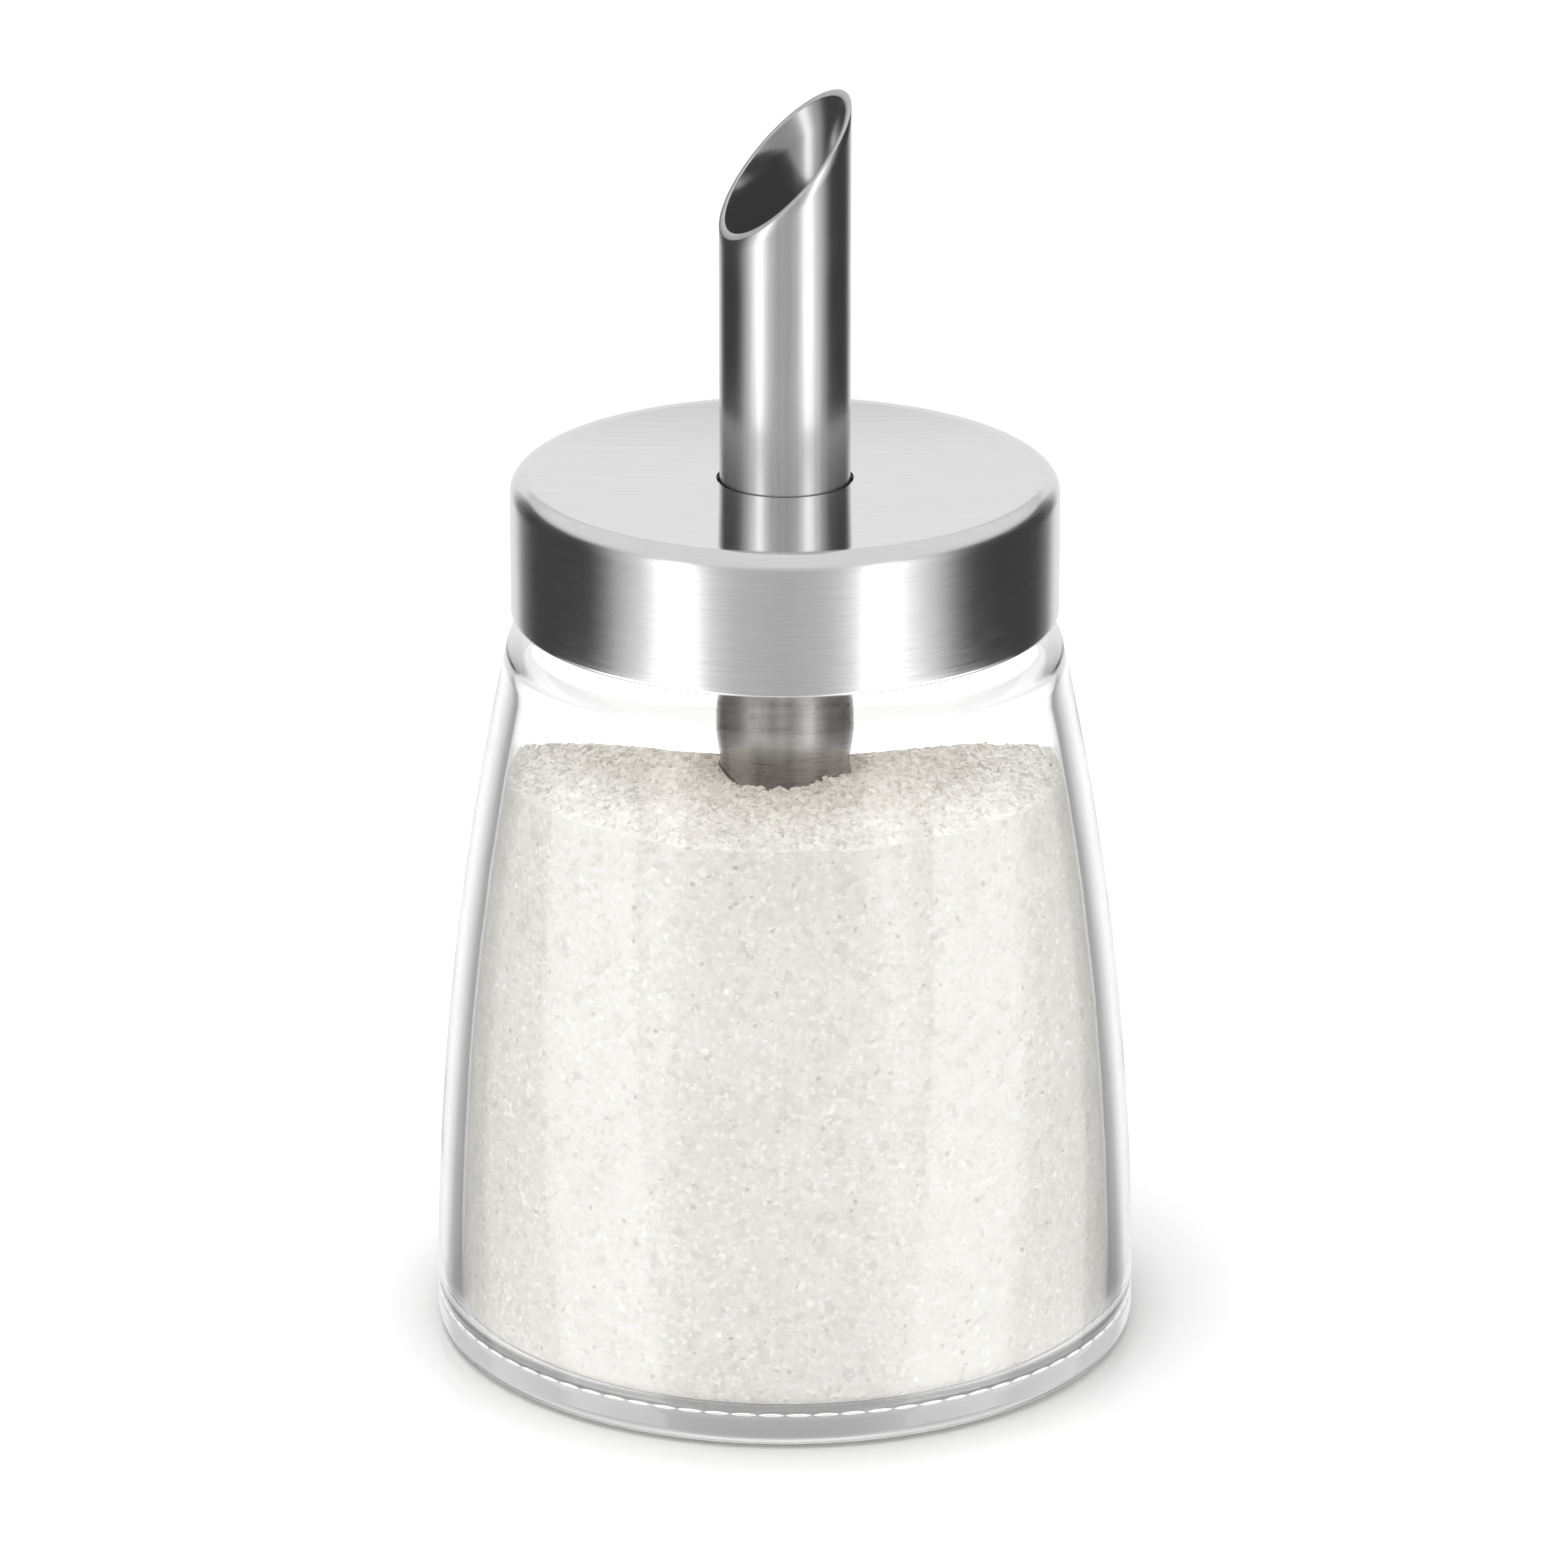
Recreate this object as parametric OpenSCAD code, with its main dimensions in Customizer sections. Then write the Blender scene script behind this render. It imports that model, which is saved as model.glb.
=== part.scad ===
// Portioning sugar dispenser: a tapered glass jar, a screw lid with a drawn steel shell over a
// moulded insert, and a steel tube with slanted ends that measures out one portion per tilt.
// The frame has its origin on the table under the middle of the jar, with +Z up.

/* [Jar] */
// Diameter of the jar at its widest, just above the table
jar_d = 75; // [67:0.5:88]
// Height of the shoulder, on which the neck stands
shoulder_z = 79.2; // [72:0.2:95]
// Radius of the shoulder's rounded edge
shoulder_r = 4; // [3:0.25:4.5]
// Width of the flat ledge between the shoulder's rounding and the neck
ledge_w = 0.8; // [0.4:0.1:3]
// Thickness of the glass wall
glass_t = 2.5; // [2:0.1:3]
// Thickness of the glass floor
floor_t = 2.3; // [2:0.1:4]
// Height of the dome pushed up into the floor
push_up = 1.2; // [0.6:0.1:2]
// Radius of the heel, where the wall turns into the floor
heel_r = 1.5; // [1:0.1:2.5]
// Width of the flat ring that the jar stands on
foot_w = 4.5; // [3:0.5:8]
// Radius of the corner inside, between the wall and the floor
inner_heel_r = 3; // [2:0.5:6]

/* [Neck] */
// Outer diameter of the neck
neck_d = 49.2; // [44:0.2:55.2]
// Thickness of the neck's wall, round the way into the jar
neck_t = 2.8; // [2.4:0.1:3.4]
// Height of the neck above the shoulder
neck_h = 10.4; // [9.8:0.1:11]
// Radius that rounds the rim
rim_r = 0.9; // [0.5:0.1:1.2]

/* [Lid] */
// Thickness of the steel sheet
sheet_t = 0.5; // [0.4:0.05:0.7]
// Radius that rounds the shell's top edge
lid_edge_r = 2; // [1.2:0.1:3]
// Depth of the shallow dish in the shell's top
dish_h = 0.6; // [0.3:0.1:1]
// How far the hem at the bottom of the shell turns in
hem_w = 0.6; // [0.4:0.1:0.8]
// Clearance between the shell's hem and the jar's shoulder
skirt_gap = 0.4; // [0.3:0.1:1]
// Clearance between the shell and the insert pressed into it
insert_gap = 0.1; // [0.05:0.05:0.2]
// Room for the thread between the neck and the insert's skirt
thread_room = 1.75; // [1.4:0.05:2]
// Thickness of the insert's skirt
skirt_t = 1.85; // [1.4:0.05:2.6]
// Thickness of the insert's top plate
plate_t = 2.1; // [1.8:0.1:2.6]
// Number of ribs under the insert's top plate
rib_n = 6; // [4:1:12]
// Thickness of each rib
rib_t = 1.2; // [0.8:0.1:2]
// Height of each rib
rib_h = 2.4; // [1.5:0.1:3]
// Radial width of the seal on the rim
seal_w = 3.4; // [2.8:0.1:3.6]
// Thickness of the seal
seal_t = 1.6; // [1:0.1:2.4]
// Running clearance above and below the seal
seal_gap = 0.1; // [0.05:0.05:0.2]
// Clearance between the seal and the insert's skirt
seal_side_gap = 0.35; // [0.3:0.05:0.5]

/* [Pouring tube] */
// Outer diameter of the tube
tube_d = 13.7; // [12:0.1:14.5]
// Thickness of the tube's wall
tube_t = 0.65; // [0.5:0.05:1]
// Height of the tube's highest point above the table
tube_top_z = 135; // [125:1:150]
// Clearance between the tube's lower end and the jar's floor
foot_gap = 2.3; // [1.5:0.1:10]
// Slant of the cut across the top end, from level
top_cut_angle = 46; // [20:1:50]
// Slant of the cut across the bottom end, from level
foot_cut_angle = 30; // [0:1:50]
// Compass direction in which the top end rises, from +X towards +Y
spout_turn = 26; // [0:1:90]
// Clearance between the tube and the hole in the shell
hole_gap = 0.3; // [0.2:0.05:0.5]
// How far the tube's bead stands out, trapped between shell and insert
bead_w = 1.5; // [1.2:0.1:1.8]
// Thickness of the bead
bead_t = 0.9; // [0.6:0.1:1.1]
// Thickness of the washer that seals the tube in the insert
washer_t = 1.6; // [1.2:0.1:2]
// Length of the insert's sleeve around the tube, below the washer
sleeve_h = 5.5; // [4:0.5:7]
// Thickness of the sleeve's wall
sleeve_t = 1.5; // [1.2:0.1:2]
// Clearance around the tube in the sleeve
tube_gap = 0.05; // [0.03:0.01:0.1]

/* [Sugar] */
// Height of the sugar's surface at the front of the jar
sugar_z = 63.3; // [45:0.5:66]
// Slope of the surface behind the tube
sugar_slope = 24; // [10:1:28]
// Air gap between the sugar and the glass, and around the tube
sugar_gap = 0.25; // [0.2:0.05:0.4]
// Width of the hollow that the tube leaves in the surface
crater_w = 4; // [2:0.5:6]
// Depth of that hollow
crater_h = 2; // [1:0.5:3]

/* [Hidden] */
$fn = 96;
// Segments in a small rounding and in the wall's long arc
round_n = 6;
wall_n = 12;
// A cut reaches this far past the surface it goes through
past = 1;

jar_r = jar_d / 2;
neck_r = neck_d / 2;
throat_r = neck_r - neck_t;
rim_z = shoulder_z + neck_h;
// The wall is one long arc that stands upright on the heel and runs into the shoulder's rounding
draw_w = jar_r - neck_r - ledge_w;
draw_h = shoulder_z - shoulder_r - heel_r;
wall_arc_r = (pow(draw_w, 2) + pow(draw_h, 2) - pow(shoulder_r, 2)) / (2 * (draw_w - shoulder_r));
arc_x = jar_r - wall_arc_r;
arc_z = heel_r;
foot_in_r = jar_r - heel_r - foot_w;
dome_r = (foot_in_r * foot_in_r + push_up * push_up) / (2 * push_up);
dome_z = push_up - dome_r;

// The thread's room, the insert's skirt and the sheet lie round each other, from the neck out
insert_bore_r = neck_r + thread_room;
insert_r = insert_bore_r + skirt_t;
plate_z = rim_z + seal_t + 2 * seal_gap;
plate_top_z = plate_z + plate_t;
lid_top_z = plate_top_z + insert_gap + sheet_t + dish_h;
lid_r = insert_r + insert_gap + sheet_t;
skirt_z = shoulder_z + skirt_gap;
hem_in_r = lid_r - sheet_t - hem_w;
// The dish is part of a large ball that rests on the circle where the rounded edge ends
dish_r = lid_r - lid_edge_r;
dish_ball_r = (dish_r * dish_r + dish_h * dish_h) / (2 * dish_h);
dish_ball_z = lid_top_z - dish_h + dish_ball_r;
shell_hole_r = tube_d / 2 + hole_gap;
insert_z = skirt_z + sheet_t + insert_gap;

tube_r = tube_d / 2;
bore_r = tube_r - tube_t;
tube_foot_z = floor_t + push_up + foot_gap;
// Each cut plane crosses the tube's axis at this height
top_cut_z = tube_top_z - tube_r * tan(top_cut_angle);
foot_cut_z = tube_foot_z + tube_r * tan(foot_cut_angle);
bead_top_z = plate_top_z - insert_gap;
washer_top_z = bead_top_z - bead_t - insert_gap;
pocket_z = washer_top_z - washer_t - insert_gap;
pocket_r = tube_r + bead_w + 2 * insert_gap;
sleeve_r = tube_r + tube_gap + sleeve_t;
sleeve_z = pocket_z - sleeve_h;

// Points on an arc about (x, z), from angle a0 to a1
function arc(x, z, r, a0, a1, n) =
    [for (i = [0:n]) let (a = a0 + (a1 - a0) * i / n) [x + r * cos(a), z + r * sin(a)]];

// The same without its first point, for an arc that carries on from the one before it
function arc_on(x, z, r, a0, a1, n) =
    [for (i = [1:n]) let (a = a0 + (a1 - a0) * i / n) [x + r * cos(a), z + r * sin(a)]];

// Distance from the axis of the wall, or of a surface that lies t inside it, at height z
function wall_x(z, t) = arc_x + sqrt(pow(wall_arc_r - t, 2) - pow(z - arc_z, 2));

// Angle on the long arc of a point at height z, on a circle that lies t inside the wall
function wall_angle(z, t) = asin((z - arc_z) / (wall_arc_r - t));

// Outline of the jar's outside, from the middle of the floor up to the rim
function outside_points() =
    let (sz = shoulder_z - shoulder_r,
         sa = wall_angle(sz, shoulder_r),
         da = acos(foot_in_r / dome_r))
    concat(
        arc(0, dome_z, dome_r, 90, da, round_n),
        arc(jar_r - heel_r, heel_r, heel_r, -90, 0, round_n),
        arc_on(arc_x, arc_z, wall_arc_r, 0, sa, wall_n),
        arc_on(wall_x(sz, shoulder_r), sz, shoulder_r, sa, 90, round_n),
        [[neck_r, shoulder_z]],
        arc(neck_r - rim_r, rim_z - rim_r, rim_r, 0, 90, round_n));

// Outline of the hollow, or of what fills it with a gap all round, from the axis up to height top
function inside_points(gap, top) =
    let (t = glass_t + gap,
         hz = floor_t + gap + inner_heel_r,
         hx = wall_x(hz, t + inner_heel_r),
         ha = wall_angle(hz, t + inner_heel_r),
         dr = dome_r + floor_t + gap,
         dx = min(foot_in_r, hx - inner_heel_r / 2),
         ta = wall_angle(top, t))
    concat(
        arc(0, dome_z, dr, 90, acos(dx / dr), round_n),
        arc(hx, hz, inner_heel_r, -90, ha, round_n),
        arc_on(arc_x, arc_z, wall_arc_r - t, ha, ta, wall_n));

// Outline of the whole hollow, with the shoulder's underside and the throat up past the rim
function hollow_points() =
    let (r = shoulder_r + 1,
         sz = shoulder_z - glass_t - r,
         sx = wall_x(sz, glass_t + r),
         lip = rim_r / 2)
    concat(
        inside_points(0, sz),
        arc(sx, sz, r, wall_angle(sz, glass_t), 90, round_n),
        [[throat_r, shoulder_z - glass_t], [throat_r, rim_z - lip], [throat_r + lip, rim_z]],
        [[throat_r + lip, rim_z + past], [0, rim_z + past]]);

// The space above a slanted plane that crosses the axis at height z and rises towards turn
module above_slant(z, angle, turn, r) {
    size = 8 * r;
    translate([0, 0, z]) rotate([0, 0, turn]) rotate([0, -angle, 0])
        translate([-size / 2, -size / 2, 0]) cube(size);
}

// Thick pressed glass with a domed floor, a rounded shoulder and a neck for the lid
module glass_jar() {
    color("lightcyan", 0.5) rotate_extrude() difference() {
        polygon(concat(outside_points(), [[0, rim_z]]));
        polygon(hollow_points());
    }
}

// Loose sugar, level in front of the tube and sliding away behind it
module sugar_fill() {
    hole_z = tube_foot_z - 3 * sugar_gap;
    color("white") difference() {
        rotate_extrude() polygon(concat(inside_points(sugar_gap, sugar_z), [[0, sugar_z]]));
        translate([0, 0, hole_z]) cylinder(r = tube_r + sugar_gap, h = sugar_z);
        translate([0, 0, sugar_z - crater_h])
            cylinder(r1 = tube_r, r2 = tube_r + 2 * crater_w, h = 2 * crater_h);
        translate([0, tube_r / 2, 0])
            above_slant(sugar_z, -sugar_slope, 90, jar_r);
    }
}

// Angle at distance x from the axis on the ball that shapes the dish, r from the ball's centre
function dish_angle(x, r) = asin(x / r) - 90;

// Outline of the steel sheet: up the outside from the hem to the hole, and back inside
function shell_points() =
    let (edge_z = lid_top_z - lid_edge_r,
         under_r = dish_ball_r + sheet_t)
    concat(
        [[hem_in_r, skirt_z]],
        arc(lid_r - sheet_t, skirt_z + sheet_t, sheet_t, -90, 0, round_n),
        arc(dish_r, edge_z, lid_edge_r, 0, 90, round_n),
        arc_on(0, dish_ball_z, dish_ball_r, dish_angle(dish_r, dish_ball_r),
               dish_angle(shell_hole_r, dish_ball_r), round_n),
        arc(0, dish_ball_z, under_r, dish_angle(shell_hole_r, under_r),
            dish_angle(dish_r, under_r), round_n),
        arc_on(dish_r, edge_z, lid_edge_r - sheet_t, 90, 0, round_n),
        [[lid_r - sheet_t, skirt_z + sheet_t], [hem_in_r, skirt_z + sheet_t]]);

// Drawn sheet cup with a rounded edge, a dished top, a hole for the tube and a turned-in hem
module lid_shell() {
    color("silver") rotate_extrude() polygon(shell_points());
}

// Moulded cap inside the shell: skirt, top plate, sleeve for the tube and radial ribs
module lid_insert() {
    edge = lid_edge_r;
    skirt_h = plate_z - insert_z + past;
    color("whitesmoke") difference() {
        union() {
            rotate_extrude() polygon(concat(
                [[insert_bore_r - past, insert_z], [insert_r, insert_z]],
                arc(insert_r - edge, plate_top_z - edge, edge, 0, 90, round_n),
                [[insert_bore_r - past, plate_top_z]]));
            translate([0, 0, plate_z]) cylinder(r = insert_bore_r, h = plate_t);
            translate([0, 0, pocket_z - sleeve_t])
                cylinder(r = pocket_r + sleeve_t, h = plate_top_z - pocket_z + sleeve_t);
            translate([0, 0, sleeve_z]) cylinder(r = sleeve_r, h = sleeve_h);
            for (i = [0:rib_n - 1]) rotate([0, 0, 360 * (i + 0.5) / rib_n])
                translate([tube_r, -rib_t / 2, plate_z - rib_h])
                    cube([throat_r - past - tube_r, rib_t, rib_h + plate_t / 2]);
        }
        translate([0, 0, insert_z - past]) difference() {
            cylinder(r = insert_bore_r, h = skirt_h);
            cylinder(r = throat_r - past, h = skirt_h);
        }
        translate([0, 0, pocket_z]) cylinder(r = pocket_r, h = plate_t + sleeve_h);
        translate([0, 0, sleeve_z - past]) cylinder(r = tube_r + tube_gap, h = skirt_h);
    }
}

// Flat ring between the jar's rim and the insert's plate
module rim_seal() {
    outer_r = insert_bore_r - seal_side_gap;
    color("gainsboro") translate([0, 0, rim_z + seal_gap]) difference() {
        cylinder(r = outer_r, h = seal_t);
        translate([0, 0, -past]) cylinder(r = outer_r - seal_w, h = seal_t + 2 * past);
    }
}

// Steel tube, cut on a slant at both ends, with the rolled bead that holds it in the lid
module pouring_tube() {
    color("lightgray") difference() {
        union() {
            difference() {
                translate([0, 0, tube_foot_z]) cylinder(r = tube_r, h = tube_top_z - tube_foot_z);
                above_slant(top_cut_z, top_cut_angle, spout_turn, tube_r);
                rotate([180, 0, 0])
                    above_slant(-foot_cut_z, foot_cut_angle, 180 - spout_turn, tube_r);
            }
            translate([0, 0, bead_top_z - bead_t]) cylinder(r = tube_r + bead_w, h = bead_t);
        }
        translate([0, 0, tube_foot_z - past]) cylinder(r = bore_r, h = tube_top_z);
    }
}

// Washer under the bead that keeps sugar and damp from creeping past the tube
module tube_washer() {
    color("dimgray") translate([0, 0, washer_top_z - washer_t]) difference() {
        cylinder(r = tube_r + bead_w, h = washer_t);
        translate([0, 0, -past]) cylinder(r = tube_r + tube_gap, h = washer_t + 2 * past);
    }
}

glass_jar();
sugar_fill();
lid_shell();
lid_insert();
rim_seal();
pouring_tube();
tube_washer();
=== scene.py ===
import math

import bpy
import numpy as np
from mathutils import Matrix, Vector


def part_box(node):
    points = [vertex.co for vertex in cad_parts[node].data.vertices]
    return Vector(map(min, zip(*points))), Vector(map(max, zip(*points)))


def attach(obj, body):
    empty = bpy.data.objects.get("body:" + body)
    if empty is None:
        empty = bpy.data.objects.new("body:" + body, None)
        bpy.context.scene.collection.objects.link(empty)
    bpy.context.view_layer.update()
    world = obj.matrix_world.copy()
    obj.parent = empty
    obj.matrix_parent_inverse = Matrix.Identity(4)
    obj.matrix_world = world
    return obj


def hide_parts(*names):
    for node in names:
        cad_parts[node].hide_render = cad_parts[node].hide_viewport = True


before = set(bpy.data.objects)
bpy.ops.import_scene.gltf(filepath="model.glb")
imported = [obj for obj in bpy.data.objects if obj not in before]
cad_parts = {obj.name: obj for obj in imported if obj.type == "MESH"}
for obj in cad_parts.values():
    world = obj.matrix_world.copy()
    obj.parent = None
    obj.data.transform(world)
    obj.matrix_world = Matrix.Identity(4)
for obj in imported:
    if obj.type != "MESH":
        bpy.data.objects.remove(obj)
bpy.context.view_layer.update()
print("frame loaded:", ", ".join(sorted(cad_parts)))

mm = 0.001
rng = np.random.default_rng(11)

# Heights and radii that the frame already knows
jarLow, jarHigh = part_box("glass_jar")
shellLow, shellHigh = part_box("lid_shell")
tubeLow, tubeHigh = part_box("pouring_tube")
sugarLow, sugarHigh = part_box("sugar_fill")


# Shapes

def arcPoints(x, z, radius, start, end, count):
    # radius and height of points on a circle about (x, z), from angle start to end in degrees
    a = np.radians(np.linspace(start, end, count))
    return np.stack([x + radius * np.cos(a), z + radius * np.sin(a)], axis=1)


def linePoints(first, last, count):
    # points spread evenly from first to last, without the two ends
    t = np.linspace(0, 1, count + 2)[1:-1, None]
    return (1 - t) * np.array(first) + t * np.array(last)


def joinProfile(*parts):
    # one outline from several stretches; a point that repeats the one before it is left out
    points = np.concatenate([np.atleast_2d(p) for p in parts])
    step = np.hypot(*np.diff(points, axis=0).T)
    return points[np.concatenate([[True], step > 1e-7])]


def surfaceMesh(name, grid, wrapRows=False, lowPole=None, highPole=None):
    # grid[row, column] holds points; columns go once round the axis, and each four neighbours
    # make one face. wrapRows joins the last row to the first, a pole closes an end to one point.
    rows, columns = grid.shape[:2]
    points = grid.reshape(-1, 3)
    i = np.arange(rows if wrapRows else rows - 1)[:, None]
    j = np.arange(columns)[None, :]
    nextI, nextJ = (i + 1) % rows, (j + 1) % columns
    corners = [i * columns + j, i * columns + nextJ, nextI * columns + nextJ, nextI * columns + j]
    faces = np.stack([np.broadcast_to(c, (len(i), columns)) for c in corners], axis=2)
    faces = faces.reshape(-1, 4).tolist()
    around = np.arange(columns)
    after = (around + 1) % columns
    for pole, base, first, second in ((lowPole, 0, after, around),
                                      (highPole, (rows - 1) * columns, around, after)):
        if pole is not None:
            points = np.vstack([points, pole])
            tip = np.full(columns, len(points) - 1)
            faces += np.stack([tip, base + first, base + second], axis=1).tolist()
    mesh = bpy.data.meshes.new(name)
    mesh.from_pydata(points.tolist(), [], faces)
    mesh.validate()
    mesh.shade_smooth()
    return mesh


def addPiece(name, mesh, body, material, nodes=()):
    piece = bpy.data.objects.new(name, mesh)
    bpy.context.scene.collection.objects.link(piece)
    mesh.materials.append(material)
    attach(piece, body)
    if nodes:
        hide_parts(*nodes)
    print("made", name, "with", len(mesh.polygons), "faces")
    return piece


def turned(profile, columns):
    # the outline turned about Z: x = r cos u, y = r sin u
    u = np.linspace(0, 2 * math.pi, columns, endpoint=False)
    r, z = profile[:, 0][:, None], profile[:, 1][:, None]
    return np.stack([r * np.cos(u), r * np.sin(u), z + 0 * u], axis=2)


def smoothStep(t):
    t = np.clip(t, 0, 1)
    return t * t * (3 - 2 * t)


def latticeHash(cell, seed):
    # a number from 0 to 1 for each whole-number cell, the same on every run
    mixed = (cell[..., 0] * 374761393 + cell[..., 1] * 668265263
             + cell[..., 2] * 2147483647 + seed * 974711) & 0xFFFFFFFF
    mixed = ((mixed ^ (mixed >> 13)) * 1274126177) & 0xFFFFFFFF
    return ((mixed ^ (mixed >> 16)) & 0xFFFFFF) / 0xFFFFFF


def grainField(points, size):
    # distance to the nearest of one jittered point per cell, in cells: 0 in a grain's middle
    scaled = points / size
    base = np.floor(scaled).astype(np.int64)
    nearest = np.full(points.shape[:-1], 9.0)
    for shift in np.ndindex(3, 3, 3):
        cell = base + np.array(shift) - 1
        centre = cell + np.stack([latticeHash(cell, k) for k in (1, 2, 3)], axis=-1)
        nearest = np.minimum(nearest, np.sum((scaled - centre) ** 2, axis=-1))
    return np.sqrt(nearest)


# Materials

def newMaterial(name):
    material = bpy.data.materials.new(name)
    material.use_nodes = True
    tree = material.node_tree
    shader = tree.nodes["Principled BSDF"]
    place = tree.nodes.new("ShaderNodeTexCoord")
    return material, tree, shader, place


def addNode(tree, kind, inputs=None, **settings):
    node = tree.nodes.new(kind)
    for key, value in settings.items():
        setattr(node, key, value)
    for key, value in (inputs or {}).items():
        node.inputs[key].default_value = value
    return node


def addRamp(tree, source, stops, interpolation="LINEAR"):
    # stops are pairs of place and grey level or colour
    ramp = tree.nodes.new("ShaderNodeValToRGB")
    ramp.color_ramp.interpolation = interpolation
    elements = ramp.color_ramp.elements
    while len(elements) < len(stops):
        elements.new(0.5)
    for element, (where, colour) in zip(elements, stops):
        element.position = where
        element.color = (*([colour] * 3 if np.isscalar(colour) else colour), 1)
    tree.links.new(source, ramp.inputs["Fac"])
    return ramp.outputs["Color"]


def plug(tree, value, socket):
    # another node's output is linked, and a number or colour is set on the socket itself
    if isinstance(value, bpy.types.NodeSocket):
        tree.links.new(value, socket)
    else:
        socket.default_value = value


def addMath(tree, operation, first, second=0):
    # a number or a socket on either side
    node = addNode(tree, "ShaderNodeMath", operation=operation)
    plug(tree, first, node.inputs[0])
    plug(tree, second, node.inputs[1])
    return node.outputs[0]


def addAxis(tree, vector, name):
    # one coordinate of a vector
    axes = addNode(tree, "ShaderNodeSeparateXYZ")
    tree.links.new(vector, axes.inputs["Vector"])
    return axes.outputs[name]


def axisDistance(tree, place):
    # distance from the Z axis: the length of (x, y, 0)
    flat = addNode(tree, "ShaderNodeVectorMath", operation="MULTIPLY")
    flat.inputs[1].default_value = (1, 1, 0)
    tree.links.new(place.outputs["Object"], flat.inputs[0])
    length = addNode(tree, "ShaderNodeVectorMath", operation="LENGTH")
    tree.links.new(flat.outputs["Vector"], length.inputs[0])
    return length.outputs["Value"]


def addSoftStep(tree, source, zero, one):
    # 0 where source is at zero, 1 where it is at one, eased at both ends
    step = addNode(tree, "ShaderNodeMapRange", interpolation_type="SMOOTHSTEP")
    step.inputs["From Min"].default_value = zero
    step.inputs["From Max"].default_value = one
    tree.links.new(source, step.inputs["Value"])
    return step.outputs["Result"]


def stepsOver(tree, path, kind, count):
    # 1 for light that has made more than count steps of a kind, and 0 for the rest
    return addMath(tree, "GREATER_THAN", path.outputs[kind + " Depth"], count + 0.5)


def addLevels(tree, source, levels, low=0, high=None):
    # a curve of brightness over a range of source, from pairs of place and level
    high = levels[-1][0] if high is None else high
    share = addMath(tree, "DIVIDE", addMath(tree, "SUBTRACT", source, low), high - low)
    brightest = max(level for _, level in levels)
    stops = [((where - low) / (high - low), level / brightest) for where, level in levels]
    return addMath(tree, "MULTIPLY", addRamp(tree, share, stops), brightest)


def blend(tree, factor, first, second):
    # first where factor is 0, second where it is 1
    node = addNode(tree, "ShaderNodeMix", data_type="FLOAT")
    for name, value in (("Factor", factor), ("A", first), ("B", second)):
        plug(tree, value, node.inputs[name])
    return node.outputs["Result"]


def mixColours(tree, factor, first, second, mode="MIX"):
    # the same for colours, whose sockets have the places 6 and 7
    node = addNode(tree, "ShaderNodeMix", data_type="RGBA", blend_type=mode)
    for index, value in ((0, factor), (6, first), (7, second)):
        plug(tree, value, node.inputs[index])
    return node.outputs[2]


def addNoise(tree, place, stretch, detail=3, roughness=0.5, scale=1000):
    # noise in object space, stretched per axis; scale 1000 makes one cell about a millimetre
    mapping = addNode(tree, "ShaderNodeMapping", {"Scale": stretch})
    noise = addNode(tree, "ShaderNodeTexNoise",
                    {"Scale": scale, "Detail": detail, "Roughness": roughness})
    tree.links.new(place.outputs["Object"], mapping.inputs["Vector"])
    tree.links.new(mapping.outputs["Vector"], noise.inputs["Vector"])
    return noise.outputs["Fac"]


def addBump(tree, shader, height, strength, distance):
    bump = addNode(tree, "ShaderNodeBump", {"Strength": strength, "Distance": distance})
    tree.links.new(height, bump.inputs["Height"])
    tree.links.new(bump.outputs["Normal"], shader.inputs["Normal"])
    return bump


def multiply(tree, first, second):
    return mixColours(tree, 1.0, first, second, "MULTIPLY")


def pressedGlass(name, look):
    material, tree, shader, place = newMaterial(name)
    shader.inputs["Base Color"].default_value = (*look["base"], 1)
    shader.inputs["Roughness"].default_value = 0.0
    shader.inputs["IOR"].default_value = look["bending"]
    shader.inputs["Transmission Weight"].default_value = 1.0
    # the faint unevenness of a pressed surface
    wave = addNoise(tree, place, (1, 1, 1), detail=1, scale=look["waveScale"])
    addBump(tree, shader, wave, look["wave"], 0.4 * mm)
    if "trapped" in look:
        # light trapped in the thick floor would go on past the last bounce that is followed
        path = addNode(tree, "ShaderNodeLightPath")
        lost = addMath(tree, "MAXIMUM", stepsOver(tree, path, "Glossy", 2),
                       stepsOver(tree, path, "Ray", 9))
        level = addLevels(tree, addAxis(tree, place.outputs["Object"], "Z"), look["trapped"])
        glow = addMath(tree, "MULTIPLY", lost, level)
    else:
        glow = look["glow"]
    plug(tree, glow, shader.inputs["Emission Strength"])
    # long ways through the glass, as at the jar's edges, come out darker
    soak = addNode(tree, "ShaderNodeVolumeAbsorption", {"Density": look["density"]})
    soak.inputs["Color"].default_value = (*look["tint"], 1)
    tree.links.new(soak.outputs["Volume"], tree.nodes["Material Output"].inputs["Volume"])
    return material


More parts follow.
